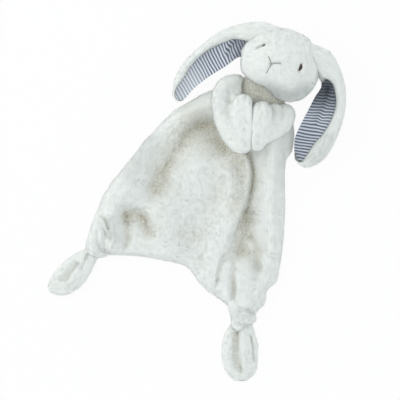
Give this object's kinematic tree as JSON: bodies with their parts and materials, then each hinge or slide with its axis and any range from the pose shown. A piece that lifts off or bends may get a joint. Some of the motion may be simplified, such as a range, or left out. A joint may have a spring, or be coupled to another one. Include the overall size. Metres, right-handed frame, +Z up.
{
  "type": "comfort blanket",
  "caption": "Soft plush baby comforter: a double-layer blanket with a stuffed rabbit's head, striped floppy ears, clasped arms and knotted corners.",
  "frame": {"origin": "on the surface that the toy lies on, under the middle of its outline", "axes": "+Z up from the surface towards the viewer, +Y towards the head along the toy's longest side, +X towards the right ear"},
  "size_m": [0.3014, 0.3571, 0.0785],
  "materials": {
    "plush": "short-pile white plush",
    "plush_backing": "short-pile white plush",
    "ticking": "woven cotton with grey-blue and white stripes",
    "fibre_filling": "loose polyester fibre",
    "eye_bead": "polished dark brown",
    "eye_washer": "moulded, natural white",
    "embroidery_thread": "twisted grey cotton thread",
    "sewing_thread": "white polyester thread"
  },
  "bodies": {
    "root": {"blanket_front_panel": "plush", "blanket_back_panel": "plush_backing", "neck_gather": "plush", "neck_thread": "sewing_thread"},
    "head": {"head_cover": "plush", "head_filling": "fibre_filling", "left_eye": "eye_bead", "right_eye": "eye_bead", "left_eye_washer": "eye_washer", "right_eye_washer": "eye_washer", "muzzle_stitches": "embroidery_thread"},
    "left_ear": {"left_ear_back": "plush", "left_ear_lining": "ticking"},
    "right_ear": {"right_ear_back": "plush", "right_ear_lining": "ticking"},
    "arms": {"left_arm_cover": "plush", "left_arm_filling": "fibre_filling", "right_arm_cover": "plush", "right_arm_filling": "fibre_filling", "paw_tack_stitch": "sewing_thread"},
    "left_corner": {"left_corner_knot": "plush", "left_corner_tail": "plush"},
    "bottom_corner": {"bottom_corner_knot": "plush", "bottom_corner_tail": "plush"}
  },
  "joints": [
    {"name": "neck_nod", "type": "hinge", "parent": "root", "child": "head", "pos_m": [0.065, 0.108, 0.027], "axis": [0.8712, -0.4909, 0], "range_deg": [-35, 0]},
    {"name": "left_ear_flap", "type": "hinge", "parent": "head", "child": "left_ear", "pos_m": [0.0476, 0.1616, 0.042], "axis": [0.29, 0.957, 0], "range_deg": [0, 60]},
    {"name": "right_ear_flap", "type": "hinge", "parent": "head", "child": "right_ear", "pos_m": [0.1218, 0.1387, 0.042], "axis": [-0.9817, 0.1903, 0], "range_deg": [0, 50]},
    {"name": "arms_lift", "type": "hinge", "parent": "root", "child": "arms", "pos_m": [0.0645, 0.104, 0.036], "axis": [-0.8712, 0.4909, 0], "range_deg": [0, 15]},
    {"name": "left_corner_swing", "type": "hinge", "parent": "root", "child": "left_corner", "pos_m": [-0.1013, -0.0405, 0.0135], "axis": [-0.7121, 0.7021, 0], "range_deg": [0, 70]},
    {"name": "bottom_corner_swing", "type": "hinge", "parent": "root", "child": "bottom_corner", "pos_m": [0.045, -0.112, 0.0135], "axis": [-0.9982, 0.0599, 0], "range_deg": [0, 70]}
  ]
}
